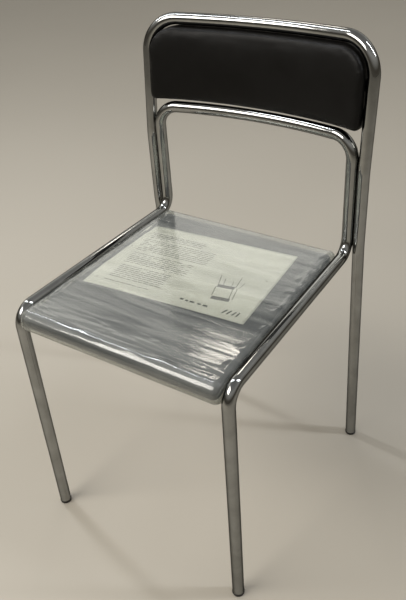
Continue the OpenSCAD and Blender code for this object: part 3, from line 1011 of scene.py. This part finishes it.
plug_outline = [(r * MM, z * MM) for r, z in (        # radius and height
    (0, 0), (8.6, 0), (9.6, 0.15), (10.3, 0.9), (10.5, 1.8), (10.5, 4.8), (10.3, 5.6), (9.8, 6),
    (8.4, 6),
    (8.4, 21), (0, 21))]
knee_x, knee_y = IN_HALF + RAIL_LEN * sin(YAW), MID_Y - RAIL_LEN * cos(YAW)
foot_y = MID_Y + LEG_BEND_H * tan(SPLAY)
feet = (("foot_plug_front_left", -knee_x, knee_y, 0), ("foot_plug_front_right", knee_x, knee_y, 0),
        ("foot_plug_rear_left", -HALF_W, foot_y, SPLAY),
        ("foot_plug_rear_right", HALF_W, foot_y, SPLAY))
for node, x, y, tilt in feet:
    where = Matrix.Translation((x, y, 0)) @ Matrix.Rotation(tilt, 4, "X")
    plug = lathe(node + "_cap", plug_outline, where, plug_plastic)
    place_on(plug, "root", "foot_plastic", node)

# %% [markdown]
# ## Pieces kept from the frame
# Straps, boards, lugs, nuts and screws already have their true shapes, so they only get their
# materials.

# %% Materials for the kept pieces
kept = {"seat_strap_front": black_paint, "seat_strap_rear": black_paint, "back_lugs": black_paint,
        "seat_board": plywood, "back_board": plywood,
        "seat_screws": zinc, "back_screws": zinc, "seat_tee_nuts": zinc, "back_tee_nuts": zinc}
for node, material in kept.items():
    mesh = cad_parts[node].data
    mesh.materials.clear()
    mesh.materials.append(material)
print("kept", len(kept), "pieces as they are")

# %% [markdown]
# ## Staples under the seat
# The film and the vinyl are stapled to the board all round. One staple's crown is a short rounded
# wire; a node tree repeats it along the turned-in edge.

# %% Staples
staple_tree, given = new_tree("staple_row", {
    "Crown": ("NodeSocketFloat", 10 * MM), "Wire": ("NodeSocketFloat", 0.8 * MM),
    "Seed": ("NodeSocketInt", 5)})
crown = add(staple_tree, "GeometryNodeMeshCube",
            {"Size": (1.0, 1.0, 1.0), "Vertices X": 4, "Vertices Y": 2, "Vertices Z": 2})
size = xyz(staple_tree, X=given["Crown"], Y=given["Wire"], Z=0.5 * MM)
heading = add(staple_tree, "GeometryNodeInputNamedAttribute", {"Name": "heading"},
    data_type="FLOAT")
wobble = chance(staple_tree, "FLOAT", Min=-0.2, Max=0.2, Seed=given["Seed"])
turn = xyz(staple_tree, Z=maths(staple_tree, "ADD", heading.outputs["Attribute"], wobble))
put = repeat(staple_tree, given["Geometry"], crown.outputs[0], Rotation=turn, Scale=size)
finish_tree(staple_tree, put, zinc)

staple_z = SEAT_LOW - film_grow - 0.3 * MM
places, headings = [], []
straps = [(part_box(n)[0][1] - 8 * MM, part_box(n)[1][1] + 8 * MM)
    for n in ("seat_strap_front", "seat_strap_rear")]
y = ROLL_Y + 50 * MM
while y < SEAT_REAR - 20 * MM:
    if not any(a < y < b for a, b in straps):
        for s in (-1, 1):
            places.append((s * (side_half(y, 0) - 20 * MM), y, staple_z))
            headings.append(pi / 2)
    y += 34 * MM
x = -0.14
while x < 0.141:
    places.append((x, SEAT_REAR - 20 * MM, staple_z))
    headings.append(0.0)
    x += 35 * MM
base = line_mesh("staple_places", places, False)
base.attributes.new("heading", "FLOAT", "POINT").data.foreach_set("value", headings)
staples = apply_tree("seat_staples", base, staple_tree, {}, zinc, False)
place_on(staples, "root", "plated_screw")

# %% [markdown]
# ## Studio
# A mirror shows its surroundings, so the world matters: a bright wall to the rear left, from
# about 20 to 35 degrees up, a dimmer ceiling above it and soft grey round the rest. Long ceiling
# lamps give chrome its white lines.

# %% Floor
FLOOR_R, CORNERS = 14, 64
rim = [(FLOOR_R * cos(2 * pi * k / CORNERS), FLOOR_R * sin(2 * pi * k / CORNERS), 0)
    for k in range(CORNERS)]
slices = [(0, k, k % CORNERS + 1) for k in range(1, CORNERS + 1)]
floor = mesh_piece("floor", [(0, 0, 0)] + rim, slices, floor_sheet, False)
floor.location.z = -0.2 * MM

# %% World
world = bpy.data.worlds.new("studio")
scene.world = world
world.use_nodes = True
tree = world.node_tree
tree.nodes.clear()
way = add(tree, "ShaderNodeTexCoord").outputs["Generated"]
parts = add(tree, "ShaderNodeSeparateXYZ", {"Vector": way})
up = parts.outputs["Z"]
room = ramp(tree, stretch(tree, up, -1.0, 1.0), [
    (0.0, "#635e55"), (0.5, "#635e55"), (0.58, "#5a554c"), (0.68, "#98958f"), (0.80, "#bbb9b5"),
    (0.88, "#a2a19e"), (1.0, "#8e8d8b")])
toward = add(tree, "ShaderNodeVectorMath", {0: way, 1: (-0.60, 0.80, 0.0)}, operation="DOT_PRODUCT")
wide = stretch(tree, toward.outputs["Value"], 0.35, 0.6)
above = stretch(tree, up, 0.30, 0.42)
below = stretch(tree, up, 0.60, 0.52)
wall = maths(tree, "MULTIPLY", maths(tree, "MULTIPLY", wide, below), above)
bright = (1.60, 1.56, 1.45, 1)
light = add(tree, "ShaderNodeMix", {"Factor": wall, "A": room, "B": bright}, data_type="RGBA")
sky = add(tree, "ShaderNodeBackground", {"Color": light.outputs["Result"], "Strength": 1.0})
add(tree, "ShaderNodeOutputWorld", {"Surface": sky.outputs[0]})

# %% Lamps
def lamp(name, at, target, size, power, colour="#fff6ea"):
    data = bpy.data.lights.new(name, "AREA")
    data.shape = "RECTANGLE"
    data.size, data.size_y = size
    data.energy = power
    data.color = linear(colour)[:3]
    piece = bpy.data.objects.new(name, data)
    piece.location = at
    piece.rotation_euler = (Vector(target) - Vector(at)).to_track_quat("-Z", "Y").to_euler()
    scene.collection.objects.link(piece)


lamp("soft_box", (-1.1, -2.0, 2.6), (0.0, -0.3, 0.2), (1.9, 1.2), 66, "#fffaf2")
lamp("ceiling_lamp_rear", (-1.50, 2.3, 3.0), (0, 0, 0.45), (0.34, 0.26), 3.4)
lamp("ceiling_lamp_left", (-1.6, 0.2, 2.5), (0, 0, 0.45), (0.12, 1.8), 20, "#f6f9ff")
lamp("ceiling_lamp_right", (1.5, 0.6, 2.5), (0, 0, 0.5), (0.12, 1.6), 20, "#f6f9ff")

# %% [markdown]
# ## Camera
# The viewpoint stands to the front right of the chair and above it, looking down about 35 degrees
# and leaning 4 degrees, which is what makes the legs fan out downwards.

# %% Camera
yaw, pitch, roll = radians(35.26), radians(-34.62), radians(-4.16)
ahead = Vector((-sin(yaw) * cos(pitch), cos(yaw) * cos(pitch), sin(pitch)))
right = Vector((cos(yaw), sin(yaw), 0))
above_it = right.cross(ahead)
right2 = right * cos(roll) + above_it * sin(roll)
up2 = above_it * cos(roll) - right * sin(roll)
camera_data = bpy.data.cameras.new("camera")
camera_data.sensor_fit = "VERTICAL"
camera_data.sensor_height = 24.0
camera_data.lens = 28.52
camera = bpy.data.objects.new("camera", camera_data)
turned = Matrix((right2, up2, -ahead)).transposed().to_4x4()
camera.matrix_world = Matrix.Translation((0.58418, -0.99780 + MID_Y, 1.09131)) @ turned
scene.collection.objects.link(camera)
scene.camera = camera
scene.view_settings.view_transform = "Standard"
